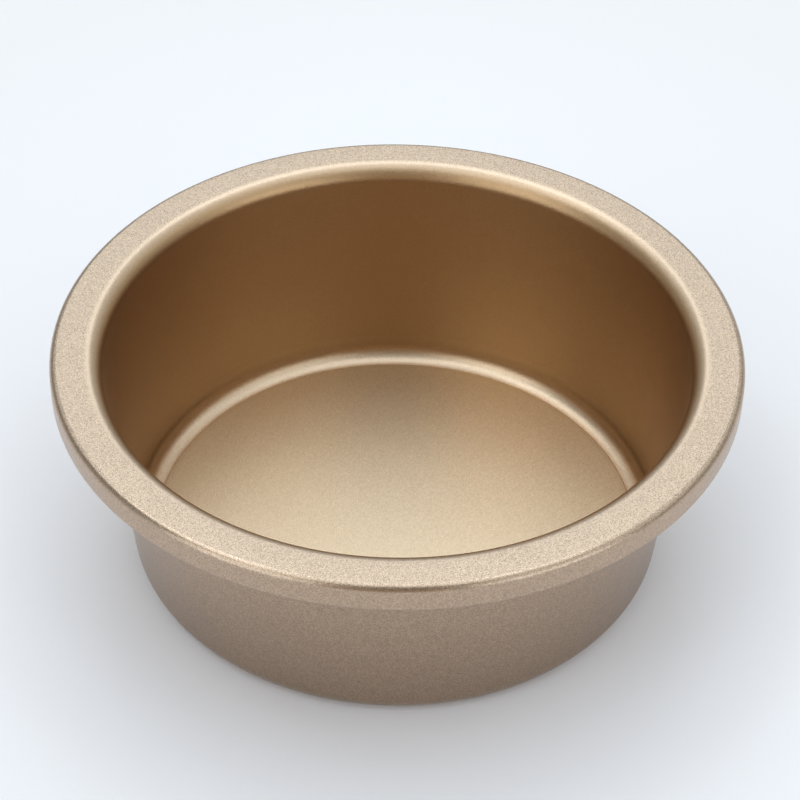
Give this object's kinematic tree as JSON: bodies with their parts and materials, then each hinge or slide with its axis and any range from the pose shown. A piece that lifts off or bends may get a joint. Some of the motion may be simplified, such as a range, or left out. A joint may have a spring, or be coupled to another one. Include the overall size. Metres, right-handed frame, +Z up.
{
  "type": "chiffon cake pan",
  "caption": "Round deep cake pan of coated sheet metal with a wide flat rim, a turned-down hemmed lip and a loose flat base that lifts out.",
  "frame": {"origin": "centre of the pan's underside, on the pan's axis", "axes": "+Z up along the pan's axis, from the underside to the rim; the pan is round, so X and Y are free"},
  "size_m": [0.18, 0.18, 0.064],
  "materials": {
    "shell_coating": "satin champagne metallic non-stick coating with a fine flake",
    "base_coating": "satin champagne metallic non-stick coating with a fine flake"
  },
  "bodies": {
    "shell": {"pan_shell": "shell_coating"},
    "base": {"loose_base": "base_coating"}
  },
  "joints": [
    {"name": "base_lift", "type": "slide", "parent": "shell", "child": "base", "axis": [0, 0, 1], "range_m": [0, 0.075]}
  ]
}
